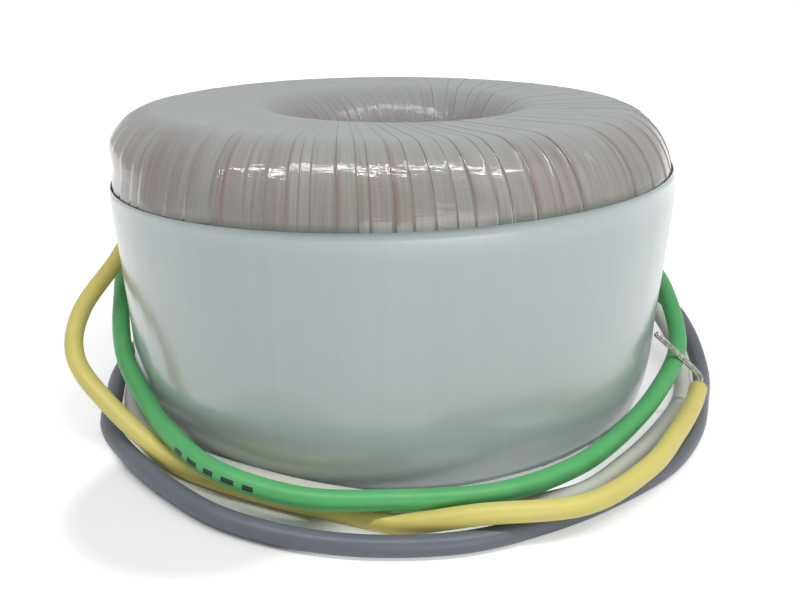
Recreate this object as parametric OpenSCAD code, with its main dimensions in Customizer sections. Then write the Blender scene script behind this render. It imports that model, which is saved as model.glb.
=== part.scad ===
// Small toroidal transformer: a ring of strip steel, two windings, a wrap of
// polyester tape, a paper band and four stranded leads. It stands on its flat
// lower face, with +Z along the axis of the hole. Millimetres and degrees.

/* [Taped ring] */
// Greatest width over the tape
body_d = 76; // [70:1:90]
// Height over the tape
body_h = 41; // [38:1:52]
// Width of the hole through the middle
hole_d = 25; // [23:0.5:28]
// How far the lower wall stands inside the widest point
wall_pull = 1.3; // [0.5:0.1:1.5]
// Width of the rounded upper shoulder
shoulder_w = 8; // [6:0.5:11]
// Height of the rounded upper shoulder
shoulder_h = 11; // [9:0.5:15]
// Width of the rounded lower edge
foot_w = 3.5; // [2.5:0.5:4.5]
// Height of the rounded lower edge
foot_h = 12; // [8:0.5:12.5]
// Width of the rounded edges of the hole
hole_edge_w = 7; // [6:0.5:8]
// Height of the rounded edges of the hole
hole_edge_h = 9; // [8:0.5:10]

/* [Wrapping tape] */
// Number of turns of tape whose edges show
tape_turns = 40; // [24:2:48]
// Width of the tape
tape_w = 14; // [8:1:18]
// Step at the edge of each turn
tape_step = 0.16; // [0.08:0.02:0.18]
// Tape thickness on the outer wall and the two faces
wrap_t = 0.8; // [0.6:0.1:1]
// Tape thickness in the hole, where the turns crowd together
wrap_hole_t = 1.3; // [1:0.1:1.6]
// How far the tape stands out over the start of the winding
start_bulge = 1.8; // [0:0.1:2]

/* [Windings] */
// Wire thickness of the secondary winding
secondary_wire_d = 1; // [0.6:0.1:1.1]
// Number of turns of the secondary winding
secondary_turns = 26; // [12:2:26]
// Tape thickness between the windings
interwinding_t = 0.6; // [0.3:0.1:0.8]
// Primary winding thickness on the outer wall
primary_t = 2.4; // [1.5:0.1:3]
// Primary winding thickness in the hole
primary_hole_t = 3.4; // [2:0.1:4]
// Primary winding thickness on the two faces
primary_face_t = 3; // [2:0.1:3.5]

/* [Core] */
// Wall of the moulded core caps
cap_t = 1; // [0.8:0.1:1.4]
// Height of the lip where the two caps lap
cap_lap = 3; // [1:0.5:5]
// Thickness of the steel strip
strip_t = 0.3; // [0.2:0.05:0.4]

/* [Label band] */
// Thickness of the paper band
label_t = 0.12; // [0.1:0.02:0.2]
// Height of the middle of the band's upper edge
label_top = 32.4; // [26:0.2:34]
// Height of the middle of the band's lower edge
label_low = 2.6; // [2:0.2:6]
// Slant of the band
label_slant = 1.8; // [0:0.1:2]
// Angle between its ends and the bulge over the joints
label_end = 1; // [0:1:20]

/* [Leads] */
// Thickness of a lead over its insulation
lead_d = 2.4; // [1.8:0.1:2.4]
// Thickness of the tinned conductor
conductor_d = 0.8; // [0.5:0.05:1]
// Bore of the sleeves over the joints
sleeve_bore = 2.6; // [2.5:0.1:2.8]
// Wall of the sleeves
sleeve_t = 0.3; // [0.2:0.05:0.35]
// Length of a sleeve
sleeve_l = 13; // [11:0.5:14]
// Thickness of a soldered joint
joint_d = 1.4; // [1:0.1:1.8]
// Thickness of the magnet wire tails
tail_d = 0.7; // [0.4:0.1:0.8]
// Thickness of the insulating pad under the joints
pad_t = 0.3; // [0.2:0.05:0.35]

/* [Hidden] */

$fn = 96;
gap = 0.1; // clearance between neighbouring layers
outline_steps = 4; // straight pieces in each rounded edge of the tape
far = 200;
// The ring's axis stands forward of the origin by half of the bulge over the joints
axis_y = -1.6;

// Radii of the taped ring
max_r = body_d / 2;
low_r = max_r - wall_pull;
hole_r = hole_d / 2;
shoulder_z = body_h - shoulder_h;

// Each layer is inset from the tape: [outer wall, hole wall, faces]
secondary_in = [wrap_t + gap, wrap_hole_t + gap, wrap_t + gap];
mid_tape_in = deeper(secondary_in, secondary_wire_d + gap);
primary_in = deeper(mid_tape_in, interwinding_t + gap);
cap_in = [primary_in[0] + primary_t + gap, primary_in[1] + primary_hole_t + gap,
    primary_in[2] + primary_face_t + gap];
core_in = deeper(cap_in, cap_t + gap);

// Corner radii of the secondary's turns: [hole edges, lower edge, shoulder]
secondary_corners = [8.5, 9.5, 10];
secondary_outer_r = low_r - secondary_in[0];
primary_outer_r = low_r - primary_in[0];

// The joints lie side by side on the back of the winding, each along X at its own height
joint_y = secondary_outer_r + pad_t + 2 * gap + sleeve_bore / 2 + sleeve_t;
joint_low = 11.5;
joint_pitch = 4.5;
joint_z = [for (i = [0:3]) joint_low + i * joint_pitch];
joint_l = 5;
joint_x = -3;
joint_overrun = 1.5; // degrees by which a tail runs on into its solder
pad_margin = 2; // degrees by which the pad stops short of the first tail
sleeve_x = -6;
pocket_r = norm([sleeve_x + sleeve_l, joint_y + sleeve_bore / 2 + sleeve_t]) + gap;
pocket_to = 100;
pocket_low = joint_z[0] - sleeve_bore / 2 - sleeve_t - 2 * gap;
pocket_high = joint_z[3] + sleeve_bore / 2 + sleeve_t + 2 * gap;
mouth_d = lead_d + 0.3;
mouth_l = 22;

// The secondary starts just past the sleeves; the tails come down beside its first leg
turn_pitch = 360 / secondary_turns;
tail_yellow = 77;
tail_white = tail_yellow - 0.3 * turn_pitch;
tail_grey = tail_yellow - 0.6 * turn_pitch;
tail_green = tail_yellow - turn_pitch;
tail_leg_d = tail_d + 0.1;
pocket_from = tail_green - 2.5;

// The tape stands out over the joints
bulge_r = pocket_r + wrap_t + gap;
bulge_middle = (pocket_from + pocket_to) / 2;
bulge_flat = (pocket_to - pocket_from) / 2 + 1; // half angle at full height
bulge_fade = 19; // angle over which it dies away
bulge_half = bulge_flat + bulge_fade + 360 / tape_turns; // it may run on to the next tape edge
label_from = bulge_middle + bulge_half + label_end;
label_to = 360 + bulge_middle - bulge_half - label_end;

// It stands out a little over the start of the winding as well
start_middle = 187;
start_fade = 42;

// Routes of the leads past their sleeves, and of the bare conductors past the insulation
way_green = [[-25.5, 32, 21], [-35, 21.5, 20.7], [-40, 9.5, 17.6], [-39, -2, 12.8],
    [-36, -13.5, 9.5], [-32, -21, 6.7], [-27, -29, 5.1], [-20, -37.5, 4.5], [-10, -42.5, 3.9],
    [0, -43, 3.8], [11, -42, 4], [20, -36.5, 3.9], [27, -29, 4.2], [34, -20, 6.2],
    [39, -10.5, 9.4], [39.5, 0.5, 13.9], [39, 11.5, 14.6], [37, 22, 11.6], [32.5, 31.5, 5.5],
    [25.5, 39.5, 1.2]];
way_yellow = [[-26.5, 31.5, 25], [-34.5, 22, 24.3], [-38, 10.5, 22.2], [-39.5, -1, 18.6],
    [-42, -11, 14.4], [-41, -18, 10.3], [-35, -24, 6], [-26.5, -30, 1.8], [-18.5, -35, 1.2],
    [-9.5, -39.5, 1.2], [0, -43.5, 1.2], [9.5, -46, 3.8], [21, -43.5, 3.6], [29.5, -36, 4],
    [35, -27, 3.9], [39, -19.5, 4.2], [41, -15, 4.8]];
way_white = [[-26, 31.5, 14], [-34, 21, 9.8], [-37.5, 9, 4.8], [-37.5, -2.5, 1.6],
    [-35.5, -13, 1.2], [-31.5, -21.5, 1.2], [-24.5, -28, 1.2], [-16.5, -33, 1.2],
    [-8, -37, 1.2], [2, -39.5, 1.2], [12.5, -40, 1.2], [21.5, -37, 1.2], [28.5, -29.5, 1.2],
    [34.5, -21, 1.2], [39.5, -12, 1.2], [42, -4, 1.5], [43, 5, 4], [41.5, 14.5, 6.4],
    [37.5, 23.5, 5.5], [33.5, 32, 1.2]];
way_grey = [[-26.5, 32, 8.6], [-35.5, 22.5, 4.6], [-40, 11, 1.6], [-40.5, 0, 1.2],
    [-39, -10, 1.2], [-37, -19.5, 1.2], [-32, -28, 1.2], [-25.5, -36, 1.2], [-17.5, -43, 1.2],
    [-6, -47.5, 1.2], [6.5, -47.5, 1.2], [16.5, -43.5, 1.2], [25.5, -37.5, 1.2],
    [33.5, -30, 1.2], [39, -21, 1.2], [42.5, -11.5, 1.2], [45.5, -1, 1.5], [46, 9.5, 4.2],
    [45, 19.5, 5], [41, 29.5, 1.2]];
bare_green = [[22.3, 42.7, 0.6], [18.8, 45.5, 0.5]];
bare_yellow = [[41.3, -14.1, 6.1], [39.8, -14.4, 7.8], [34.6, -15.5, 12.8]];
bare_white = [[31.6, 35.3, 0.7], [29.3, 39.3, 0.5]];
bare_grey = [[39.4, 33, 0.7], [36.8, 37.6, 0.5]];

// ---- functions ----

function deeper(inset, t) = [for (v = inset) v + t];

// Eased step from 0 to 1 as x goes from 0 to 1
function ease(x) = let (u = max(0, min(1, x))) u * u * (3 - 2 * u);

// Points of a quarter ellipse about (cx, cz), from angle a0 to a0 + 90
function quarter(cx, cz, w, h, a0, n) =
    [for (i = [0:n]) let (a = a0 + 90 * i / n) [cx + w * cos(a), cz + h * sin(a)]];

// Radius of the outer wall between the rounded foot and the shoulder
function wall_r(z) = low_r + wall_pull * max(0, min(1, (z - foot_h) / (shoulder_z - foot_h)));

// Outline of the taped ring's section, inset by [outer wall, hole wall, faces]
function ring_outline(inset, n) = let (
        ri = hole_r + inset[1], w = hole_edge_w - inset[1], h = hole_edge_h - inset[2]
    ) concat(
        quarter(ri + w, inset[2] + h, w, h, 180, n),
        side_outline(inset[0], inset[2], n),
        quarter(ri + w, body_h - inset[2] - h, w, h, 90, n));

// The part of it from the lower face up the wall and over the shoulder
function side_outline(wall_inset, face_inset, n) = concat(
    quarter(low_r - foot_w, foot_h, foot_w - wall_inset, foot_h - face_inset, 270, n),
    [for (i = [1:n - 1]) let (z = foot_h + (shoulder_z - foot_h) * i / n)
        [wall_r(z) - wall_inset, z]],
    quarter(max_r - shoulder_w, shoulder_z, shoulder_w - wall_inset, shoulder_h - face_inset,
        0, n + 1));

// How much of the joints' bulge a point at this angle and height takes
function joint_share(a, z) =
    (1 - ease((abs(a - bulge_middle) - bulge_flat) / bulge_fade))
    * ease((z - 1) / (pocket_low - 3)) * (1 - ease((z - pocket_high - 2) / 8));

// How much of the winding start's bulge it takes
function start_share(a, z) =
    (1 - ease(abs(a - start_middle) / start_fade)) * ease((z - label_top - 1) / 4);

function wrapped(a) = a - 360 * floor(a / 360);

// One point of the tape's surface: a section point p, in the turn that starts at angle a
function tape_point(p, a, lift) = let (
        spread = asin(min(0.6, tape_w / 2 / p[0])),
        t = wrapped(a - spread),
        out = p[0] > (low_r + hole_r) / 2 ? 1 : 0,
        s = out * joint_share(t, p[1]),
        r1 = p[0] + out * lift + start_bulge * out * start_share(t, p[1]),
        r2 = r1 + s * max(0, bulge_r - r1),
        z = p[1] < 0.01 ? 0 : p[1] + (p[1] > body_h / 2 ? lift : 0) * (1 - out)
            + (p[1] > shoulder_z ? lift * out * (p[1] - shoulder_z) / shoulder_h : 0)
    ) [r2 * cos(t), r2 * sin(t), z];

// A lead's whole route: straight out of its sleeve, then along the way round the ring
function lead_route(i, way) = concat(
    [[joint_x, joint_y, joint_z[i]], [-15, joint_y, joint_z[i]]], spread_out(way));
function spread_out(way) = [for (p = way) [p[0] * body_d / 76, p[1] * body_d / 76, p[2]]];

// A bare conductor leaves its lead in line with it
function bare_route(way, bare) = let (
        w = spread_out(way), n = len(w), stop = w[n - 1], run = stop - w[n - 2]
    ) concat([stop, stop + 0.8 * run / norm(run)], spread_out(bare));

// Triangles between ring i and ring j of n points each
function band_faces(i, j, n) = [for (k = [0:n - 1]) let (m = (k + 1) % n)
    each [[i * n + k, j * n + k, j * n + m], [i * n + k, j * n + m, i * n + m]]];

// Rings of a round tube that follows the points of a route
function route_way(route, i) = let (n = len(route),
        a = route[max(0, i - 1)], b = route[i], c = route[min(n - 1, i + 1)],
        u = (b - a) / max(0.001, norm(b - a)), v = (c - b) / max(0.001, norm(c - b))
    ) (u + v) / norm(u + v);
function route_rings(route, r, sides) = [for (i = [0:len(route) - 1]) let (
        w = route_way(route, i), side = cross(w, [0, 0, 1]) / norm(cross(w, [0, 0, 1])),
        up = cross(side, w)
    ) each [for (k = [0:sides - 1]) let (a = 360 * (k + 0.5) / sides)
        route[i] + r * (side * cos(a) + up * sin(a))]];

// ---- shapes used by several sub-parts ----

module on_axis() {
    translate([0, axis_y, 0]) children();
}

module tube(route, d, sides = 8) {
    n = len(route);
    faces = concat(
        [[for (k = [sides - 1:-1:0]) k]],
        [for (i = [0:n - 2]) each band_faces(i + 1, i, sides)],
        [[for (k = [0:sides - 1]) (n - 1) * sides + k]]);
    polyhedron(route_rings(route, d / 2, sides), faces);
}

// What a rounded corner of radius c takes off a square one, at (x, z), opening towards (sx, sz)
module corner_cut(x, z, sx, sz, c) {
    translate([x, z]) scale_corner(sx, sz) difference() {
        translate([-1, -1]) square(c + 1);
        translate([c, c]) circle(c);
    }
}

module scale_corner(sx, sz) {
    mirror([sx < 0 ? 1 : 0, 0]) mirror([0, sz < 0 ? 1 : 0]) children();
}

// Section of a layer inside the wrap, corners = [hole edges, lower edge, shoulder]
module layer_section(inset, corners) {
    ri = hole_r + inset[1];
    ro = low_r - inset[0];
    z0 = inset[2];
    z1 = body_h - inset[2];
    difference() {
        translate([ri, z0]) square([ro - ri, z1 - z0]);
        corner_cut(ri, z0, 1, 1, corners[0]);
        corner_cut(ri, z1, 1, -1, corners[0]);
        corner_cut(ro, z0, -1, 1, corners[1]);
        corner_cut(ro, z1, -1, -1, corners[2]);
    }
}

// Corner radii after the layer has gone t deeper
function tighter(corners, t) = [for (c = corners) max(0.5, c - t)];

mid_tape_corners = tighter(secondary_corners, secondary_wire_d + gap);
primary_corners = tighter(mid_tape_corners, interwinding_t + gap);
cap_corners = [1.6, 1.6, 1.6];
core_corners = [0.5, 0.5, 0.5];

module ring_of(inset, corners) {
    rotate_extrude() layer_section(inset, corners);
}

// A layer from one inset in to the next layer's inset, less the clearance
module layer_shell(outer, outer_corners, inner, inner_corners) {
    rotate_extrude() difference() {
        layer_section(outer, outer_corners);
        layer_section(deeper(inner, -gap), inner_corners);
    }
}

module sector(r0, r1, z0, z1, from, to) {
    rotate([0, 0, from]) rotate_extrude(angle = to - from)
        translate([r0, z0]) square([r1 - r0, z1 - z0]);
}

module along_x(x0, x1, z, d) {
    translate([x0, joint_y, z]) rotate([0, 90, 0]) cylinder(d = d, h = x1 - x0);
}

// ---- core ----

module core() {
    color("#8d9299") on_axis() {
        ring_of([core_in[0] + strip_t, core_in[1], core_in[2]], core_corners);
        // the last turn of the strip stops short of a full circle
        rotate([0, 0, 40]) rotate_extrude(angle = 352)
            translate([low_r - core_in[0] - 2 * strip_t, core_in[2] + 0.8])
                square([2 * strip_t, body_h - 2 * core_in[2] - 1.6]);
    }
}

module cap_section() {
    difference() {
        layer_section(cap_in, cap_corners);
        layer_section(deeper(core_in, -gap), core_corners);
    }
}

// Upright band of the caps' walls from z0 to z1, between two depths in the wall
module cap_band(z0, z1, d0, d1) {
    intersection() {
        difference() {
            layer_section(deeper(cap_in, d0), [0.5, 0.5, 0.5]);
            layer_section(deeper(cap_in, d1), [0.5, 0.5, 0.5]);
        }
        translate([0, z0]) square([far, z1 - z0]);
    }
}

module core_cap_lower() {
    split = body_h / 2;
    color("#2f3336") on_axis() rotate_extrude() {
        intersection() {
            cap_section();
            square([far, split]);
        }
        cap_band(split - 0.5, split + cap_lap, cap_t / 2, cap_t);
    }
}

module core_cap_upper() {
    split = body_h / 2;
    color("#3a3f43") on_axis() rotate_extrude() difference() {
        intersection() {
            cap_section();
            translate([0, split + gap]) square([far, far]);
        }
        cap_band(split - 1, split + cap_lap + gap, cap_t / 2 - gap, cap_t + gap);
    }
}

// ---- windings ----

module primary_winding() {
    color("#b5652b") on_axis() layer_shell(primary_in, primary_corners, cap_in, cap_corners);
}

module interwinding_tape() {
    color("#c9c3a4") on_axis() difference() {
        layer_shell(mid_tape_in, mid_tape_corners, primary_in, primary_corners);
        // the primary's tails come out through two small holes
        tail_hole(tail_white, joint_z[1]);
        tail_hole(tail_grey, joint_z[0]);
    }
}

module tail_hole(a, z) {
    rotate([0, 0, a]) translate([primary_outer_r - 1, 0, z]) rotate([0, 90, 0])
        cylinder(d = tail_leg_d + 2 * gap, h = 4);
}

// One turn, open along the lower face, and the sloping run that leads to the next
module secondary_turn(i) {
    wire = secondary_wire_d;
    run_d = 0.9 * wire;
    a = tail_yellow + i * turn_pitch;
    z = secondary_in[2] + wire / 2;
    inner_foot = hole_r + secondary_in[1] + secondary_corners[0];
    outer_foot = secondary_outer_r - secondary_corners[1];
    rotate([90, 0, a]) linear_extrude(wire, center = true) difference() {
        layer_section(secondary_in, secondary_corners);
        layer_section(deeper(secondary_in, wire), tighter(secondary_corners, wire));
        translate([inner_foot + 0.5, 0])
            square([outer_foot - inner_foot - 1, secondary_in[2] + 2 * wire]);
    }
    if (i > 0) {
        start = [inner_foot * cos(a), inner_foot * sin(a)];
        b = a - turn_pitch;
        stop = [outer_foot * cos(b), outer_foot * sin(b)];
        run = stop - start;
        translate([start[0], start[1], z]) rotate([0, 0, atan2(run[1], run[0])])
            translate([0, -run_d / 2, -run_d / 2]) cube([norm(run), run_d, run_d]);
    }
}

module secondary_winding() {
    color("#c87533") on_axis() for (i = [0:secondary_turns - 1]) secondary_turn(i);
}

// ---- joints between the windings and the leads ----

module joint_pad() {
    color("#6f8a6a") on_axis() sector(secondary_outer_r + gap, secondary_outer_r + gap + pad_t,
        pocket_low + gap, pocket_high - gap, tail_yellow + pad_margin, pocket_to - pad_margin / 2);
}

// Solder barrel, and a tail of magnet wire that runs back and down onto its winding
module joint(i, a, depth_r) {
    tail_r = norm([joint_x + joint_l, joint_y]);
    from = atan2(joint_y, joint_x + joint_l) + joint_overrun;
    color("#b9bcc0") on_axis() {
        along_x(joint_x, joint_x + joint_l, joint_z[i], joint_d);
        translate([0, 0, joint_z[i]]) rotate([0, 0, a]) {
            rotate_extrude(angle = from - a) translate([tail_r, 0]) circle(d = tail_d);
            translate([depth_r, 0, 0]) rotate([0, 90, 0])
                cylinder(d = tail_leg_d, h = tail_r + tail_leg_d / 2 - depth_r);
        }
    }
}

module joint_grey() { joint(0, tail_grey, primary_outer_r); }
module joint_white() { joint(1, tail_white, primary_outer_r); }
module joint_green() { joint(2, tail_green, secondary_outer_r); }
module joint_yellow() { joint(3, tail_yellow, secondary_outer_r); }

module sleeve(z) {
    color("#1f2224") on_axis() difference() {
        along_x(sleeve_x, sleeve_x + sleeve_l, z, sleeve_bore + 2 * sleeve_t);
        along_x(sleeve_x - 1, sleeve_x + sleeve_l + 1, z, sleeve_bore);
    }
}

module sleeve_grey() { sleeve(joint_z[0]); }
module sleeve_white() { sleeve(joint_z[1]); }
module sleeve_green() { sleeve(joint_z[2]); }
module sleeve_yellow() { sleeve(joint_z[3]); }

// ---- tape wrap and label ----

// Overlapping turns of tape: each starts proud of the one before and slopes down to the next
module tape_turns_skin() {
    base = ring_outline([0, -0.3, 0], outline_steps);
    n = len(base);
    pitch = 360 / tape_turns;
    rings = [for (i = [0:tape_turns - 1]) each [[i * pitch, tape_step], [(i + 0.95) * pitch, 0]]];
    points = [for (ring = rings) each [for (p = base) tape_point(p, ring[0], ring[1])]];
    m = len(rings);
    polyhedron(points, [for (i = [0:m - 1]) each band_faces(i, (i + 1) % m, n)]);
}

module outer_wrap() {
    color("#d8cfc4") on_axis() difference() {
        tape_turns_skin();
        rotate_extrude() polygon(ring_outline([wrap_t, wrap_hole_t, wrap_t], 2 * outline_steps));
        cylinder(r = hole_r, h = 3 * body_h, center = true);
        sector(secondary_outer_r, pocket_r, pocket_low, pocket_high, pocket_from, pocket_to);
        for (z = joint_z) along_x(-mouth_l, sleeve_x + 1, z, mouth_d);
    }
}

module label_band() {
    off = tape_step + gap / 2;
    side = side_outline(0, 0, outline_steps);
    inner = [for (p = side) [p[0] + off, p[1]]];
    outer = [for (i = [len(side) - 1:-1:0]) [side[i][0] + off + label_t, side[i][1]]];
    color("#c3cdcc") on_axis() intersection() {
        rotate([0, 0, label_from]) rotate_extrude(angle = label_to - label_from)
            polygon(concat(inner, outer));
        rotate([0, -label_slant, 0]) translate([0, 0, label_low])
            cylinder(r = far / 2, h = label_top - label_low);
    }
}

// ---- leads ----

module lead_grey() { color("#7b7f8c") on_axis() tube(lead_route(0, way_grey), lead_d); }
module lead_white() { color("#c9cac4") on_axis() tube(lead_route(1, way_white), lead_d); }
module lead_green() { color("#4fa866") on_axis() tube(lead_route(2, way_green), lead_d); }
module lead_yellow() { color("#e3d67f") on_axis() tube(lead_route(3, way_yellow), lead_d); }

module bare_end(way, bare) {
    color("#b4b6b2") on_axis() tube(bare_route(way, bare), conductor_d);
}

module tinned_end_grey() { bare_end(way_grey, bare_grey); }
module tinned_end_white() { bare_end(way_white, bare_white); }
module tinned_end_green() { bare_end(way_green, bare_green); }
module tinned_end_yellow() { bare_end(way_yellow, bare_yellow); }

core();
core_cap_lower();
core_cap_upper();
primary_winding();
interwinding_tape();
secondary_winding();
joint_pad();
joint_green();
joint_yellow();
joint_white();
joint_grey();
sleeve_green();
sleeve_yellow();
sleeve_white();
sleeve_grey();
outer_wrap();
label_band();
lead_green();
lead_yellow();
lead_white();
lead_grey();
tinned_end_green();
tinned_end_yellow();
tinned_end_white();
tinned_end_grey();
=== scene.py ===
import bpy
import math
import random
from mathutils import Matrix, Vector, noise


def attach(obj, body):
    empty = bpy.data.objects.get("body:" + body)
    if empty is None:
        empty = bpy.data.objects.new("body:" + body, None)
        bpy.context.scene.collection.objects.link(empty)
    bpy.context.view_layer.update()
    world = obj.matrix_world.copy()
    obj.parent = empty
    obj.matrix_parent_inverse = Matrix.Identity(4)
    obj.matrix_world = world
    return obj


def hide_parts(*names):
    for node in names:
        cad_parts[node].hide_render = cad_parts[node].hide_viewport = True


# A taped toroidal transformer with a paper band and four leads. Sizes are in millimetres
# beside the code that uses them, and meshes are made in metres.

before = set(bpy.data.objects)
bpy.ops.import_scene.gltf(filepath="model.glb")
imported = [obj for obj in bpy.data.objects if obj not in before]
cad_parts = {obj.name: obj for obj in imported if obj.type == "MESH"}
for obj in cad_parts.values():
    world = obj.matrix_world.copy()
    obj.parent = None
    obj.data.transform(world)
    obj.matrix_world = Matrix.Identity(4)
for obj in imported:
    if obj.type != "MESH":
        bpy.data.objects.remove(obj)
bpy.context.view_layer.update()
mm = 0.001
axisY = -1.6  # the ring's axis stands a little in front of the origin


def point(x, y, z):
    return Vector((x * mm, (y + axisY) * mm, z * mm))


view = {
    "place": (0.62, -140.92, 59.45),
    "tiltDown": 18.5,
    "turn": -0.15,
    "lens": 45.87,
}


def makeCamera():
    data = bpy.data.cameras.new("camera")
    data.lens = view["lens"]
    data.sensor_width = 36
    data.clip_start = 0.01
    camera = bpy.data.objects.new("camera", data)
    bpy.context.scene.collection.objects.link(camera)
    camera.location = point(*view["place"])
    camera.rotation_euler = (math.radians(90 - view["tiltDown"]), 0, math.radians(view["turn"]))
    bpy.context.scene.camera = camera


makeCamera()
print("camera done")


def makeObject(name, verts, faces, material, smooth=True):
    mesh = bpy.data.meshes.new(name)
    mesh.from_pydata([tuple(v) for v in verts], [], faces)
    mesh.validate()
    mesh.materials.append(material)
    for face in mesh.polygons:
        face.use_smooth = smooth
    thing = bpy.data.objects.new(name, mesh)
    bpy.context.scene.collection.objects.link(thing)
    return thing


def gridFaces(rows, columns, closedRows, closedColumns):
    faces = []
    for i in range(rows if closedRows else rows - 1):
        for j in range(columns if closedColumns else columns - 1):
            a, b = i * columns + j, i * columns + (j + 1) % columns
            c, d = ((i + 1) % rows) * columns + (j + 1) % columns, ((i + 1) % rows) * columns + j
            faces.append((a, b, c, d))
    return faces


def storeUv(mesh, name, values):
    layer = mesh.uv_layers.new(name=name)
    for loop in mesh.loops:
        layer.data[loop.index].uv = values[loop.vertex_index]


def storeNumber(mesh, name, values):
    layer = mesh.attributes.new(name=name, type="FLOAT", domain="POINT")
    layer.data.foreach_set("value", values)


def newMaterial(name):
    material = bpy.data.materials.new(name)
    material.use_nodes = True
    nodes = material.node_tree.nodes
    return material, nodes, material.node_tree.links, nodes["Principled BSDF"]


def addNode(nodes, kind, **settings):
    node = nodes.new(kind)
    for key, value in settings.items():
        setattr(node, key, value)
    return node


def linear(r, g, b):
    def one(v):
        v /= 255
        return v / 12.92 if v <= 0.04045 else ((v + 0.055) / 1.055) ** 2.4
    return one(r), one(g), one(b), 1


def ramp(nodes, stops, mode="LINEAR"):
    node = nodes.new("ShaderNodeValToRGB")
    node.color_ramp.interpolation = mode
    elements = node.color_ramp.elements
    while len(elements) > 1:
        elements.remove(elements[-1])
    elements[0].position, elements[0].color = stops[0]
    for place, colour in stops[1:]:
        elements.new(place).color = colour
    return node


def grey(v):
    return v, v, v, 1


def mixColours(nodes, links, factor, a, b, blend="MIX"):
    node = nodes.new("ShaderNodeMix")
    node.data_type = "RGBA"
    node.blend_type = blend
    for socket, value in ((0, factor), (6, a), (7, b)):
        if isinstance(value, bpy.types.NodeSocket):
            links.new(value, node.inputs[socket])
        else:
            node.inputs[socket].default_value = value
    return node.outputs[2]


def calculate(nodes, links, operation, a, b=0.0, clamp=False):
    node = addNode(nodes, "ShaderNodeMath", operation=operation, use_clamp=clamp)
    for socket, value in ((0, a), (1, b)):
        if isinstance(value, bpy.types.NodeSocket):
            links.new(value, node.inputs[socket])
        else:
            node.inputs[socket].default_value = value
    return node.outputs[0]


def noiseOn(nodes, links, vector, scale, detail=3.0, roughness=0.5):
    node = addNode(nodes, "ShaderNodeTexNoise")
    node.inputs["Scale"].default_value = scale
    node.inputs["Detail"].default_value = detail
    node.inputs["Roughness"].default_value = roughness
    links.new(vector, node.inputs["Vector"])
    return node.outputs["Fac"]


def stretched(nodes, links, vector, scale):
    node = addNode(nodes, "ShaderNodeMapping")
    node.inputs["Scale"].default_value = scale
    links.new(vector, node.inputs["Vector"])
    return node.outputs[0]


def bumpOn(nodes, links, shader, height, strength, distance, coatToo=False):
    node = addNode(nodes, "ShaderNodeBump")
    node.inputs["Strength"].default_value = strength
    node.inputs["Distance"].default_value = distance
    links.new(height, node.inputs["Height"])
    links.new(node.outputs[0], shader.inputs["Normal"])
    if coatToo:
        links.new(node.outputs[0], shader.inputs["Coat Normal"])


leads = {
    "thickness": 2.4,
    "sides": 20,
    "steps": 8,  # rings between two points of a route
    "begin": (-3, -15),  # x of the straight run out of the joints
    "beginY": 37.9,
    "clear": 0.02,  # between a lead and the floor
    "bareThickness": 0.8,
    "bareSteps": 12,
    "bareOverlap": (0.4, 0.8),  # how far the strands run in and straight on from the insulation
    "strandSides": 8,
    "strandTwist": 300,  # degrees of twist over a bare end
}

routes = {
    "green": {
        "start": 20.5,
        "way": [
            (-25.5, 32, 21), (-35, 21.5, 20.7), (-40, 9.5, 17.6), (-39, -2, 12.8),
            (-36, -13.5, 9.5), (-32, -21, 6.7), (-27, -29, 5.1), (-20, -37.5, 4.5),
            (-10, -42.5, 3.9), (0, -43, 3.8), (11, -42, 4), (20, -36.5, 3.9), (27, -29, 4.2),
            (34, -20, 6.2), (39, -10.5, 9.4), (39.5, 0.5, 13.9), (39, 11.5, 14.6), (37, 22, 11.6),
            (32.5, 31.5, 5.5), (25.5, 39.5, 1.2)],
        "bare": [(22.3, 42.7, 0.6), (18.8, 45.5, 0.5)],
    },
    "yellow": {
        "start": 25,
        "way": [
            (-26.5, 31.5, 25), (-34.5, 22, 24.3), (-38, 10.5, 22.2), (-39.5, -1, 18.6),
            (-42, -11, 14.4), (-41, -18, 10.3), (-35, -24, 6), (-26.5, -30, 1.8),
            (-18.5, -35, 1.2), (-9.5, -39.5, 1.2), (0, -43.5, 1.2), (9.5, -46, 3.8),
            (21, -43.5, 3.6), (29.5, -36, 4), (35, -27, 3.9), (39, -19.5, 4.2), (41, -15, 4.8)],
        "bare": [(41.3, -14.1, 6.1), (39.8, -14.4, 7.8), (34.6, -15.5, 12.8)],
    },
    "white": {
        "start": 16,
        "way": [
            (-26, 31.5, 14), (-34, 21, 9.8), (-37.5, 9, 4.8), (-37.5, -2.5, 1.6),
            (-35.5, -13, 1.2), (-31.5, -21.5, 1.2), (-24.5, -28, 1.2), (-16.5, -33, 1.2),
            (-8, -37, 1.2), (2, -39.5, 1.2), (12.5, -40, 1.2), (21.5, -37, 1.2),
            (28.5, -29.5, 1.2), (34.5, -21, 1.2), (39.5, -12, 1.2), (42, -4, 1.5), (43, 5, 4),
            (41.5, 14.5, 6.4), (37.5, 23.5, 5.5), (33.5, 32, 1.2)],
        "bare": [(31.6, 35.3, 0.7), (29.3, 39.3, 0.5)],
    },
    "grey": {
        "start": 11.5,
        "way": [
            (-26.5, 32, 8.6), (-35.5, 22.5, 4.6), (-40, 11, 1.6), (-40.5, 0, 1.2),
            (-39, -10, 1.2), (-37, -19.5, 1.2), (-32, -28, 1.2), (-25.5, -36, 1.2),
            (-17.5, -43, 1.2), (-6, -47.5, 1.2), (6.5, -47.5, 1.2), (16.5, -43.5, 1.2),
            (25.5, -37.5, 1.2), (33.5, -30, 1.2), (39, -21, 1.2), (42.5, -11.5, 1.2),
            (45.5, -1, 1.5), (46, 9.5, 4.2), (45, 19.5, 5), (41, 29.5, 1.2)],
        "bare": [(39.4, 33, 0.7), (36.8, 37.6, 0.5)],
    },
}


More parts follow.
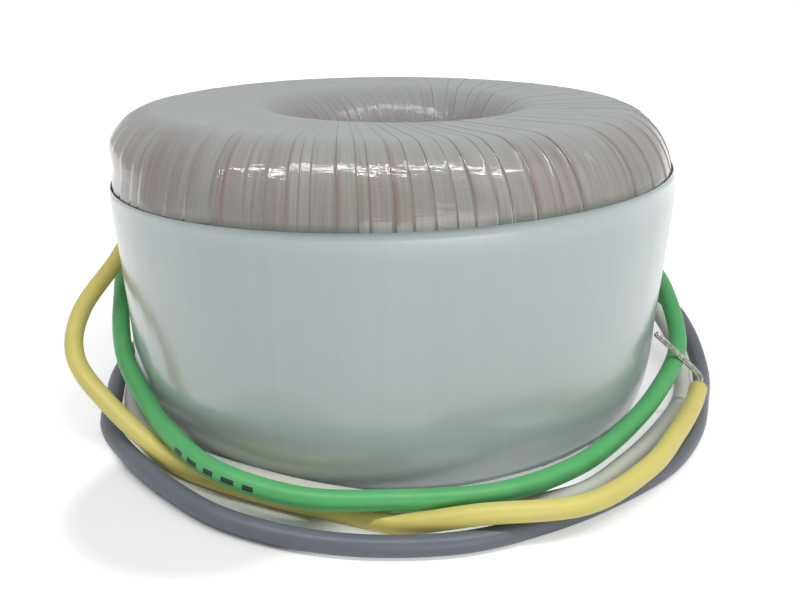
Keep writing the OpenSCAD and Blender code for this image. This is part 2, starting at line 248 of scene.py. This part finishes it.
def smoothLine(points, steps):
    ends = [points[0] * 2 - points[1]] + points + [points[-1] * 2 - points[-2]]
    line = []
    for i in range(1, len(ends) - 2):
        p, q, r, s = ends[i - 1:i + 3]
        for k in range(steps):
            t = k / steps
            line.append(0.5 * (2 * q + (r - p) * t + (2 * p - 5 * q + 4 * r - s) * t * t
                               + (3 * q - p - 3 * r + s) * t ** 3))
    return line + [points[-1]]


def tubeMesh(name, line, radius, sides, material):
    verts, uvs, along = [], [], 0
    side = None
    for i, place in enumerate(line):
        way = (line[min(i + 1, len(line) - 1)] - line[max(i - 1, 0)]).normalized()
        if side is None:
            side = way.cross(Vector((0, 0, 1))).normalized()
        side = (side - way * side.dot(way)).normalized()
        up = side.cross(way)
        if i:
            along += (place - line[i - 1]).length
        for k in range(sides):
            a = 2 * math.pi * k / sides
            verts.append(place + radius * (side * math.cos(a) + up * math.sin(a)))
            uvs.append((along / mm, k / sides))
    faces = gridFaces(len(line), sides, False, True)
    faces.append(tuple(reversed(range(sides))))
    faces.append(tuple(range(len(verts) - sides, len(verts))))
    thing = makeObject(name, verts, faces, material)
    storeUv(thing.data, "way", uvs)
    for face in thing.data.polygons[-2:]:
        face.use_smooth = False
    return thing, along


def plasticMaterial(name, colour, dark, marks=None):
    material, nodes, links, shader = newMaterial(name)
    where = addNode(nodes, "ShaderNodeTexCoord").outputs["Object"]
    cloud = noiseOn(nodes, links, where, 260, 2)
    base = mixColours(nodes, links, cloud, linear(*dark), linear(*colour))
    if marks:
        uv = addNode(nodes, "ShaderNodeUVMap", uv_map="way").outputs[0]
        split = addNode(nodes, "ShaderNodeSeparateXYZ")
        links.new(uv, split.inputs[0])
        ink = None
        for start, stop in marks["spans"]:
            after = calculate(nodes, links, "GREATER_THAN", split.outputs[0], start)
            before = calculate(nodes, links, "LESS_THAN", split.outputs[0], stop)
            span = calculate(nodes, links, "MULTIPLY", after, before)
            ink = span if ink is None else calculate(nodes, links, "ADD", ink, span)
        low = calculate(nodes, links, "GREATER_THAN", split.outputs[1], marks["from"])
        high = calculate(nodes, links, "LESS_THAN", split.outputs[1], marks["to"])
        line = calculate(nodes, links, "MULTIPLY", low, high)
        ink = calculate(nodes, links, "MULTIPLY", ink, line)
        base = mixColours(nodes, links, ink, base, linear(*marks["ink"]))
    links.new(base, shader.inputs["Base Color"])
    rough = ramp(nodes, [(0, grey(0.36)), (1, grey(0.5))])
    links.new(noiseOn(nodes, links, where, 900, 3), rough.inputs[0])
    links.new(rough.outputs[0], shader.inputs["Roughness"])
    bumpOn(nodes, links, shader, noiseOn(nodes, links, where, 700, 3), 0.12, 0.0002)
    return material


def tinMaterial():
    material, nodes, links, shader = newMaterial("tinned copper")
    where = addNode(nodes, "ShaderNodeTexCoord").outputs["Object"]
    patch = noiseOn(nodes, links, where, 1500, 3)
    base = ramp(nodes, [(0.3, linear(140, 138, 132)), (0.7, linear(205, 205, 202))])
    links.new(patch, base.inputs[0])
    links.new(base.outputs[0], shader.inputs["Base Color"])
    shader.inputs["Metallic"].default_value = 1.0
    rough = ramp(nodes, [(0.3, grey(0.22)), (0.8, grey(0.42))])
    links.new(noiseOn(nodes, links, where, 2600, 2), rough.inputs[0])
    links.new(rough.outputs[0], shader.inputs["Roughness"])
    bumpOn(nodes, links, shader, patch, 0.3, 0.0001)
    return material


greenMarks = {
    # from and to along the lead, and as parts of a turn round it
    "spans": [(99.6, 101.3), (102.5, 104.4), (105.6, 107.1), (108.3, 110.1), (111.2, 112.6)],
    "from": 0.04, "to": 0.125, "ink": (14, 26, 18),
}
leadColours = {
    "green": ((84, 172, 104), (68, 154, 86)),
    "yellow": ((210, 199, 112), (198, 186, 98)),
    "white": ((202, 203, 194), (190, 191, 182)),
    "grey": ((97, 102, 112), (86, 90, 100)),
}
tin = tinMaterial()


def makeBareEnd(colour, points):
    line = smoothLine(points, leads["bareSteps"])
    radius = leads["bareThickness"] / 2 * mm
    for place in line:
        place.z = max(place.z, radius * 1.1)
    strand = radius / 3
    verts, faces = [], []
    sides = leads["strandSides"]
    for number in range(7):  # six strands round a seventh
        away = 0 if number == 6 else radius - strand
        for i, place in enumerate(line):
            way = (line[min(i + 1, len(line) - 1)] - line[max(i - 1, 0)]).normalized()
            side = way.cross(Vector((0.3, 0.2, 1))).normalized()
            up = side.cross(way)
            twist = math.radians(number * 60 + leads["strandTwist"] * i / len(line))
            middle = place + away * (side * math.cos(twist) + up * math.sin(twist))
            for k in range(sides):
                a = 2 * math.pi * k / sides
                verts.append(middle + strand * 1.06 * (side * math.cos(a) + up * math.sin(a)))
        base = number * len(line) * sides
        faces += [tuple(base + v for v in face)
                  for face in gridFaces(len(line), sides, False, True)]
        faces.append(tuple(base + v for v in reversed(range(sides))))
        last = base + (len(line) - 1) * sides
        faces.append(tuple(range(last, last + sides)))
    piece = makeObject("bareEnd." + colour, verts, faces, tin)
    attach(piece, "root")
    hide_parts("tinned_end_" + colour)
    return piece


def makeLead(colour):
    route = routes[colour]
    material = plasticMaterial(colour + " insulation", *leadColours[colour],
                               marks=greenMarks if colour == "green" else None)
    points = [(x, leads["beginY"], route["start"]) for x in leads["begin"]] + route["way"]
    line = smoothLine([point(*p) for p in points], leads["steps"])
    radius = leads["thickness"] / 2 * mm
    for place in line:
        place.z = max(place.z, radius + leads["clear"] * mm)
    piece, length = tubeMesh("lead." + colour, line, radius, leads["sides"], material)
    run = (point(*points[-1]) - point(*points[-2])).normalized()
    stop = point(*points[-1])
    inside, out = leads["bareOverlap"]
    bare = [stop - run * inside * mm, stop + run * out * mm] + [point(*p) for p in route["bare"]]
    end = makeBareEnd(colour, bare)
    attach(piece, "root")
    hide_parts("lead_" + colour)
    print("lead", colour, round(length / mm, 1), "mm")


for colour in routes:
    makeLead(colour)


ring = {
    "radius": 38, "height": 41, "hole": 12.5,
    "wallPull": 1.3,  # how much smaller the radius is at the foot than at the shoulder
    "shoulder": (8, 11), "foot": (3.5, 12), "holeEdge": (7, 9),  # width and height of each bend
    "flatAbove": (19.5, 30), "flatBelow": (19.5, 33.2),  # radii of the flat faces
    "step": 0.16,  # how far each turn of tape stands over the next
    "tapeHalf": 7,  # half the tape's width, which swirls the turns across the faces
    "perDegree": 0.66,  # length of one degree on the wall
    "shoulderWay": 63,  # from the hole, under the ring and up, along the section to the shoulder
    "startBulge": {"height": 1.8, "middle": 187, "fade": 42},
    "bulge": {"radius": 41.12, "middle": 80.3, "flat": 20.7, "fade": 19, "low": 9.7, "high": 26.8},
}
tape = {
    "face": ((146, 149, 150), (157, 160, 161)),
    "wall": ((124, 114, 110), (138, 131, 127), (145, 143, 139), (158, 152, 149)),
    "copper": (122, 101, 91),
    "backTurn": (5, 10),  # degrees between turns where turnStarts lists none
    "backStop": 14,  # degrees left free before the first listed turn
    "rows": (0, 0.06, 0.2, 0.4, 0.6, 0.8, 0.965),  # across one turn
    "gloss": (0.05, 0.85),  # on the faces and on the wall
    "ripple": 0.1,
    "lean": 1.1,  # how differently the turns lean over the shoulder
    "bandEdgeShadow": (84, 96, 90),  # painted shadow colour, for a thin line on the tape just above the band's top edge
}
# where the edge of a turn shows round the front, in degrees, and how strong its copper line is
turnStarts = [
    (206, 0.2), (212, 0.3), (218.5, 0.2), (225, 0.3), (228.5, 0.2), (238, 0.3), (243, 0.5),
    (249, 0.3), (251, 0.9), (255.5, 0.2), (259.5, 0.3), (263.5, 0.5), (265.5, 0.2),
    (267.5, 0.4), (272, 0.8), (275.5, 0.3), (277.5, 0.4), (281.5, 1), (284.5, 0.2),
    (288, 0.3), (291.5, 0.2), (294.5, 0.8), (298.5, 0.3), (301, 0.4), (305.5, 1),
    (311, 0.3), (315, 0.8), (320.5, 0.2), (329.5, 0.9), (337.5, 0.3), (346, 0.4)]
band = {
    "from": 131, "to": 389.65,  # degrees round the ring
    "off": 0.21,  # from the tape
    "thickness": 0.12,
    "top": 32.4, "low": 0.9, "lowest": 0.4,
    "slant": 1.8, "slantRadius": 37,  # the band sits a little askew
    "columns": 300, "rows": 34, "bendSteps": 12,
    "wave": 0.03,  # how far the paper stands in and out of true
    "fullFoot": (1.6, 5),  # how much smaller the foot's bend is at the front
    "fullMiddle": 270, "fullFade": 30,
}


def ease(x):
    u = max(0, min(1, x))
    return u * u * (3 - 2 * u)


def quarter(cx, cz, w, h, start, count):
    return [(cx + w * math.cos(math.radians(start + 90 * i / count)),
             cz + h * math.sin(math.radians(start + 90 * i / count))) for i in range(count + 1)]


def sideOutline(count, fuller=0.0):
    low = ring["radius"] - ring["wallPull"]
    footW, footH = (size - fuller * less for size, less in zip(ring["foot"], band["fullFoot"]))
    topW, topH = ring["shoulder"]
    top = ring["height"] - topH
    wall = [(low + ring["wallPull"] * (i / count), footH + (top - footH) * i / count)
            for i in range(1, count)]
    return (quarter(low - footW, footH, footW, footH, 270, count) + wall
            + quarter(ring["radius"] - topW, top, topW, topH, 0, count + 4))


def ringOutline(count):
    edgeW, edgeH = ring["holeEdge"]
    hole = ring["hole"]
    inner, outer = ring["flatAbove"]
    face = [(inner + (outer - inner) * i / 6, ring["height"]) for i in range(5, 0, -1)]
    bore = [(hole, ring["height"] - edgeH - (ring["height"] - 2 * edgeH) * i / 6)
            for i in range(1, 6)]
    inner, outer = ring["flatBelow"]
    under = [(inner + (outer - inner) * i / 5, 0) for i in range(1, 5)]
    return (quarter(hole + edgeW, edgeH, edgeW, edgeH, 180, count) + under + sideOutline(count)
            + face + quarter(hole + edgeW, ring["height"] - edgeH, edgeW, edgeH, 90, count) + bore)


# how much of the bulge over the joints stands out at an angle and height
def jointShare(a, z):
    b = ring["bulge"]
    return ((1 - ease((abs(a - b["middle"]) - b["flat"]) / b["fade"]))
            * ease((z - 1) / (b["low"] - 3)) * (1 - ease((z - b["high"] - 2) / 8)))


# the same for the bulge where the winding starts, which is above the band only
def startShare(a, z):
    b = ring["startBulge"]
    return (1 - ease(abs(a - b["middle"]) / b["fade"])) * ease((z - band["top"] - 1) / 4)


def tapeSurface(r, z, turn, lift):
    spread = math.degrees(math.asin(min(0.6, ring["tapeHalf"] / r)))
    a = (turn - spread) % 360
    outer = 1 if r > (ring["radius"] + ring["hole"]) / 2 else 0
    joint = outer * jointShare(a, z)
    size = r + outer * lift + ring["startBulge"]["height"] * outer * startShare(a, z)
    size += joint * max(0, ring["bulge"]["radius"] - size)
    height = z
    bend = ring["shoulder"][1]
    wallTop = ring["height"] - bend
    if z > wallTop:
        height += lift * (1 if not outer else (z - wallTop) / bend)
    return a, size, height


print("outline ready")


def turnEdges():
    rng = random.Random(4)
    edges = list(turnStarts)
    a = turnStarts[-1][0]
    stop = turnStarts[0][0] + 360
    while a < stop - tape["backStop"]:
        a += rng.uniform(*tape["backTurn"])
        edges.append((a, rng.choice((0.2, 0.3, 0.4, 0.9))))
    return edges + [(stop, 0)]


def tapeMaterial():
    material, nodes, links, shader = newMaterial("clear tape over copper")
    uv = addNode(nodes, "ShaderNodeUVMap", uv_map="turns").outputs[0]
    attribute = {name: addNode(nodes, "ShaderNodeAttribute", attribute_name=name).outputs["Fac"]
                 for name in ("fromEdge", "turnTone", "copper", "onWall", "bandShadowShare")}
    tone, wall = attribute["turnTone"], attribute["onWall"]
    split = addNode(nodes, "ShaderNodeSeparateXYZ")
    links.new(uv, split.inputs[0])
    join = addNode(nodes, "ShaderNodeCombineXYZ")
    links.new(split.outputs[0], join.inputs[0])
    links.new(split.outputs[1], join.inputs[1])
    links.new(calculate(nodes, links, "MULTIPLY", tone, 40), join.inputs[2])
    where = join.outputs[0]

    streak = noiseOn(nodes, links, stretched(nodes, links, where, (1.3, 0.04, 1)), 1.0, 5, 0.7)
    fine = noiseOn(nodes, links, stretched(nodes, links, where, (5, 0.03, 1)), 1.0, 3, 0.6)
    cloud = noiseOn(nodes, links, stretched(nodes, links, uv, (0.1, 0.1, 1)), 1.0, 3, 0.5)
    faceColour = mixColours(nodes, links, cloud, linear(*tape["face"][0]), linear(*tape["face"][1]))
    wallRamp = ramp(nodes, [(0.3, linear(*tape["wall"][0])), (0.42, linear(*tape["wall"][1])),
                            (0.55, linear(*tape["wall"][2])), (0.72, linear(*tape["wall"][3]))])
    links.new(streak, wallRamp.inputs[0])
    fineRamp = ramp(nodes, [(0.35, grey(0.9)), (0.65, grey(1))])
    links.new(fine, fineRamp.inputs[0])
    wallColour = mixColours(nodes, links, 1.0, wallRamp.outputs[0], fineRamp.outputs[0], "MULTIPLY")
    toneColour = mixColours(nodes, links, tone, linear(236, 230, 228), linear(250, 255, 252))
    wallColour = mixColours(nodes, links, 1.0, wallColour, toneColour, "MULTIPLY")

    # the copper below shows in a soft line along the edge of a turn
    edge = ramp(nodes, [(0, grey(1)), (0.035, grey(0.9)), (0.085, grey(0))], "EASE")
    reach = calculate(nodes, links, "ADD", attribute["copper"], 0.25)
    links.new(calculate(nodes, links, "DIVIDE", attribute["fromEdge"], reach), edge.inputs[0])
    share = calculate(nodes, links, "MULTIPLY", edge.outputs[0], attribute["copper"])
    wallColour = mixColours(nodes, links, share, wallColour, linear(*tape["copper"]))
    base = mixColours(nodes, links, wall, faceColour, wallColour)
    # painted shadow: the tape is darkened in a thin line just above the band's top edge, strongest
    # at the edge and gone about 0.9 mm up, only where the band is
    spot = addNode(nodes, "ShaderNodeSeparateXYZ")
    links.new(addNode(nodes, "ShaderNodeTexCoord").outputs["Object"], spot.inputs[0])
    slant = calculate(nodes, links, "MULTIPLY", spot.outputs[0],
                      -math.tan(math.radians(band["slant"])))
    above = calculate(nodes, links, "ADD", calculate(nodes, links, "ADD", spot.outputs[2], slant),
                      -band["top"] * mm)
    shade = ramp(nodes, [(0, grey(0)), (0.01, grey(0.75)), (0.35, grey(0.6)), (0.9, grey(0))])
    links.new(calculate(nodes, links, "MULTIPLY", above, 1000), shade.inputs[0])
    shade = calculate(nodes, links, "MULTIPLY", shade.outputs[0], attribute["bandShadowShare"])
    base = mixColours(nodes, links, shade, base, linear(*tape["bandEdgeShadow"]))
    links.new(base, shader.inputs["Base Color"])
    shader.inputs["Specular IOR Level"].default_value = 0.35
    rough = ramp(nodes, [(0.3, grey(0.38)), (0.7, grey(0.5))])
    links.new(cloud, rough.inputs[0])
    links.new(rough.outputs[0], shader.inputs["Roughness"])
    gloss = ramp(nodes, [(0.3, grey(tape["gloss"][0])), (1, grey(tape["gloss"][1]))])
    links.new(wall, gloss.inputs[0])
    links.new(gloss.outputs[0], shader.inputs["Coat Weight"])
    shader.inputs["Coat Roughness"].default_value = 0.05
    ripple = noiseOn(nodes, links, stretched(nodes, links, where, (0.12, 0.6, 1)), 1.0, 4, 0.6)
    grain = calculate(nodes, links, "MULTIPLY", fine, 0.08)
    lean = calculate(nodes, links, "MULTIPLY", calculate(nodes, links, "SUBTRACT", tone, 0.5),
                     tape["lean"])
    way = calculate(nodes, links, "SUBTRACT", split.outputs[1], ring["shoulderWay"])
    way = calculate(nodes, links, "MAXIMUM", calculate(nodes, links, "MINIMUM", way, 4), -4)
    lean = calculate(nodes, links, "MULTIPLY", lean, way)
    height = calculate(nodes, links, "ADD", calculate(nodes, links, "ADD", ripple, grain), lean)
    bumpOn(nodes, links, shader, height, 1.0, tape["ripple"] * mm, True)
    return material


def makeTape():
    outline = ringOutline(9)
    length = [0]
    for i in range(1, len(outline)):
        length.append(length[-1] + math.dist(outline[i - 1], outline[i]))
    edges = turnEdges()
    rng = random.Random(9)
    tones = [rng.random() for _ in edges]
    verts, uvs = [], []
    numbers = {"fromEdge": [], "turnTone": [], "copper": [], "onWall": [], "bandShadowShare": []}
    rows = 0
    for k in range(len(edges) - 1):
        a, copper = edges[k]
        b = edges[k + 1][0]
        step = ring["step"] * (0.35 + 0.65 * copper)
        for part in tape["rows"]:
            turn = a + (b - a) * part
            rows += 1
            for (r, z), s in zip(outline, length):
                wall = max(ease((r - 30) / 6), 0.6 * ease((19 - r) / 5))
                lift = step * (1 - part / tape["rows"][-1]) * (0.2 + 0.8 * wall)
                angle, size, height = tapeSurface(r, z, turn, lift)
                t = math.radians(angle)
                verts.append(point(size * math.cos(t), size * math.sin(t), height))
                uvs.append(((turn % 360) * ring["perDegree"], s))
                numbers["fromEdge"].append((b - a) * part * 0.1)
                numbers["turnTone"].append(tones[k])
                numbers["copper"].append(copper)
                numbers["onWall"].append(wall)
                # where the band is, the tape carries a painted shadow line above its top edge
                clear = band["to"] - 360 < angle < band["from"]
                numbers["bandShadowShare"].append(0 if clear else wall)
    faces = gridFaces(rows, len(outline), True, True)
    piece = makeObject("tapeWrap", verts, faces, tapeMaterial())
    storeUv(piece.data, "turns", uvs)
    for name, values in numbers.items():
        storeNumber(piece.data, name, values)
    piece.data.flip_normals()
    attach(piece, "root")
    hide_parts("outer_wrap")


makeTape()
print("tape done")


def paperMaterial():
    material, nodes, links, shader = newMaterial("coated paper")
    uv = addNode(nodes, "ShaderNodeUVMap", uv_map="paper").outputs[0]
    cloud = noiseOn(nodes, links, stretched(nodes, links, uv, (0.03, 0.03, 1)), 1.0, 1, 0.5)
    fibre = noiseOn(nodes, links, stretched(nodes, links, uv, (3, 3, 1)), 1.0, 4, 0.6)
    crease = noiseOn(nodes, links, stretched(nodes, links, uv, (0.25, 0.008, 1)), 1.0, 2, 0.5)
    base = mixColours(nodes, links, cloud, linear(161, 173, 174), linear(169, 181, 182))
    base = mixColours(nodes, links, calculate(nodes, links, "MULTIPLY", fibre, 0.12), base,
                      linear(150, 160, 160))
    # painted shade: faint darker vertical streaks, standing in for the shade along the paper's
    # creases
    streak = noiseOn(nodes, links, stretched(nodes, links, uv, (0.8, 0.01, 1)), 1.0, 3, 0.6)
    creaseShade = ramp(nodes, [(0.35, grey(0.965)), (0.65, grey(1))])
    links.new(streak, creaseShade.inputs[0])
    base = mixColours(nodes, links, 1.0, base, creaseShade.outputs[0], "MULTIPLY")
    links.new(base, shader.inputs["Base Color"])
    rough = ramp(nodes, [(0.3, grey(0.28)), (0.75, grey(0.34))])
    links.new(fibre, rough.inputs[0])
    links.new(rough.outputs[0], shader.inputs["Roughness"])
    shader.inputs["Coat Weight"].default_value = 0.8
    shader.inputs["Coat Roughness"].default_value = 0.16
    shader.inputs["Coat IOR"].default_value = 1.7
    height = calculate(nodes, links, "ADD", calculate(nodes, links, "MULTIPLY", fibre, 0.05), crease)
    bumpOn(nodes, links, shader, height, 0.2, 0.0004, True)
    return material


def radiusAt(outline, z):
    for (r0, z0), (r1, z1) in zip(outline, outline[1:]):
        if z0 <= z <= z1 and z1 > z0:
            return r0 + (r1 - r0) * (z - z0) / (z1 - z0)
    return outline[-1][0]


def makeBand():
    columns, rows = band["columns"], band["rows"]
    rise = math.tan(math.radians(band["slant"])) * band["slantRadius"]
    verts, uvs = [], []
    for layer in (0, 1):
        for i in range(columns + 1):
            a = band["from"] + (band["to"] - band["from"]) * i / columns
            t = math.radians(a)
            low = max(band["lowest"], band["low"] + rise * math.cos(t))
            high = band["top"] + rise * math.cos(t)
            fuller = math.exp(-((a - band["fullMiddle"]) / band["fullFade"]) ** 2)
            side = sideOutline(band["bendSteps"], fuller)
            for j in range(rows + 1):
                z = low + (high - low) * j / rows
                r = radiusAt(side, z) + band["off"] + layer * band["thickness"]
                r += band["wave"] * noise.noise(Vector((a * 0.22, z * 0.03, 1.7)))
                verts.append(point(r * math.cos(t), r * math.sin(t), z))
                uvs.append((a * ring["perDegree"], z))
    count = (columns + 1) * (rows + 1)
    inner = gridFaces(columns + 1, rows + 1, False, False)
    faces = [tuple(reversed(f)) for f in inner] + [tuple(v + count for v in f) for f in inner]
    rim = ([i * (rows + 1) for i in range(columns + 1)]
           + [columns * (rows + 1) + j for j in range(1, rows + 1)]
           + [i * (rows + 1) + rows for i in range(columns - 1, -1, -1)]
           + [j for j in range(rows - 1, 0, -1)])
    for i, v in enumerate(rim):
        w = rim[(i + 1) % len(rim)]
        faces.append((v, w, w + count, v + count))
    piece = makeObject("paperBand", verts, faces, paperMaterial())
    storeUv(piece.data, "paper", uvs)
    for face in piece.data.polygons[-len(rim):]:
        face.use_smooth = False
    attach(piece, "root")
    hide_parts("label_band")


makeBand()
print("band done")


def plainMaterial(name, colour, dark, rough, metal, scale):
    material, nodes, links, shader = newMaterial(name)
    where = addNode(nodes, "ShaderNodeTexCoord").outputs["Object"]
    cloud = noiseOn(nodes, links, where, scale, 4)
    links.new(mixColours(nodes, links, cloud, linear(*dark), linear(*colour)),
              shader.inputs["Base Color"])
    spread = ramp(nodes, [(0.2, grey(rough - 0.08)), (0.8, grey(rough + 0.08))])
    links.new(cloud, spread.inputs[0])
    links.new(spread.outputs[0], shader.inputs["Roughness"])
    shader.inputs["Metallic"].default_value = metal
    bumpOn(nodes, links, shader, cloud, 0.15, 0.0002)
    return material


insides = {
    "core": ("strip steel", (150, 152, 155), (112, 114, 118), 0.4, 1.0, 900),
    "core_cap": ("moulded cap", (48, 52, 56), (38, 41, 45), 0.55, 0.0, 500),
    "primary": ("fine enamelled wire", (196, 116, 66), (150, 80, 44), 0.34, 1.0, 1400),
    "interwinding": ("yellow film", (206, 196, 150), (190, 178, 128), 0.3, 0.0, 300),
    "secondary": ("enamelled wire", (205, 124, 70), (172, 96, 52), 0.3, 1.0, 800),
    "joint_pad": ("pressboard", (118, 142, 112), (98, 120, 94), 0.7, 0.0, 700),
    "joint": ("solder", (190, 191, 193), (150, 152, 155), 0.35, 1.0, 900),
    "sleeve": ("shrunk sleeving", (42, 43, 46), (32, 33, 35), 0.45, 0.0, 600),
}


def dressInsides():
    made = {key: plainMaterial(*look) for key, look in insides.items()}
    for name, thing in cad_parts.items():
        keys = [key for key in insides if name.startswith(key)]
        if keys:
            material = made[max(keys, key=len)]
            for place in thing.material_slots:
                place.material = material


dressInsides()
print("insides done")


studio = {
    "floor": 0.82, "floorHalf": 3,  # metres
    "glow": (0.42, 1), "glowReach": (70, 300),  # near the object and away from it
    "dim": ((-22, -37), 13, 19),  # a patch of floor between the leads that does not glow
    "world": 0.25, "mirrored": 0.7,  # strength of the world as light and in reflections
    "lamps": [  # name, place, width and length in metres, power
        ("tube", (0, -110, 330), (0.60, 0.015), 1.1),
        ("left", (-300, -180, 260), (0.30, 0.30), 0.05),
        ("right", (320, -120, 240), (0.30, 0.30), 0.22),
        ("front", (200, -560, 60), (0.50, 0.30), 1.3),
    ],
}


def byDistance(nodes, links, place, reach, values):
    away = nodes.new("ShaderNodeVectorMath")
    away.operation = "DISTANCE"
    links.new(nodes.new("ShaderNodeNewGeometry").outputs["Position"], away.inputs[0])
    away.inputs[1].default_value = place
    spread = nodes.new("ShaderNodeMapRange")
    spread.interpolation_type = "SMOOTHSTEP"
    links.new(away.outputs["Value"], spread.inputs["Value"])
    spread.inputs["From Min"].default_value = reach[0] * mm
    spread.inputs["From Max"].default_value = reach[1] * mm
    spread.inputs["To Min"].default_value, spread.inputs["To Max"].default_value = values
    return spread.outputs[0]


def makeFloor():
    material = bpy.data.materials.new("floor")
    material.use_nodes = True
    nodes, links = material.node_tree.nodes, material.node_tree.links
    nodes.clear()
    out = nodes.new("ShaderNodeOutputMaterial")
    matt = nodes.new("ShaderNodeBsdfDiffuse")
    matt.inputs["Color"].default_value = grey(studio["floor"])
    glow = nodes.new("ShaderNodeEmission")
    path = nodes.new("ShaderNodeLightPath")
    seen = calculate(nodes, links, "MAXIMUM", path.outputs["Is Camera Ray"],
                     path.outputs["Is Glossy Ray"])
    middle, *reach = studio["dim"]
    strength = calculate(nodes, links, "MULTIPLY",
                         byDistance(nodes, links, point(*middle, 0), reach, (0, 1)),
                         byDistance(nodes, links, (0, 0, 0), studio["glowReach"], studio["glow"]))
    links.new(calculate(nodes, links, "MULTIPLY", seen, strength), glow.inputs["Strength"])
    both = nodes.new("ShaderNodeAddShader")
    links.new(matt.outputs[0], both.inputs[0])
    links.new(glow.outputs[0], both.inputs[1])
    links.new(both.outputs[0], out.inputs["Surface"])
    half = studio["floorHalf"]
    corners = [(-half, -half, 0), (half, -half, 0), (half, half, 0), (-half, half, 0)]
    floor = makeObject("floor", corners, [(0, 1, 2, 3)], material, False)


def makeWorld():
    world = bpy.data.worlds.new("studio")
    bpy.context.scene.world = world
    world.use_nodes = True
    nodes, links = world.node_tree.nodes, world.node_tree.links
    background = nodes["Background"]
    path = nodes.new("ShaderNodeLightPath")
    mirrored = calculate(nodes, links, "MULTIPLY", path.outputs["Is Glossy Ray"],
                         studio["mirrored"] - studio["world"])
    seen = calculate(nodes, links, "MULTIPLY", path.outputs["Is Camera Ray"], 1 - studio["world"])
    strength = calculate(nodes, links, "ADD", mirrored, seen)
    strength = calculate(nodes, links, "ADD", strength, studio["world"])
    background.inputs["Color"].default_value = grey(1)
    links.new(strength, background.inputs["Strength"])


def makeLamps():
    for name, place, size, power in studio["lamps"]:
        data = bpy.data.lights.new(name, "AREA")
        data.shape = "RECTANGLE"
        data.size, data.size_y = size
        data.energy = power
        lamp = bpy.data.objects.new(name, data)
        bpy.context.scene.collection.objects.link(lamp)
        lamp.location = point(*place)
        lamp.rotation_euler = (point(0, 0, 20) - lamp.location).to_track_quat("-Z", "Y").to_euler()


makeFloor()
makeWorld()
makeLamps()
bpy.context.scene.view_settings.view_transform = "Standard"
print("studio done")
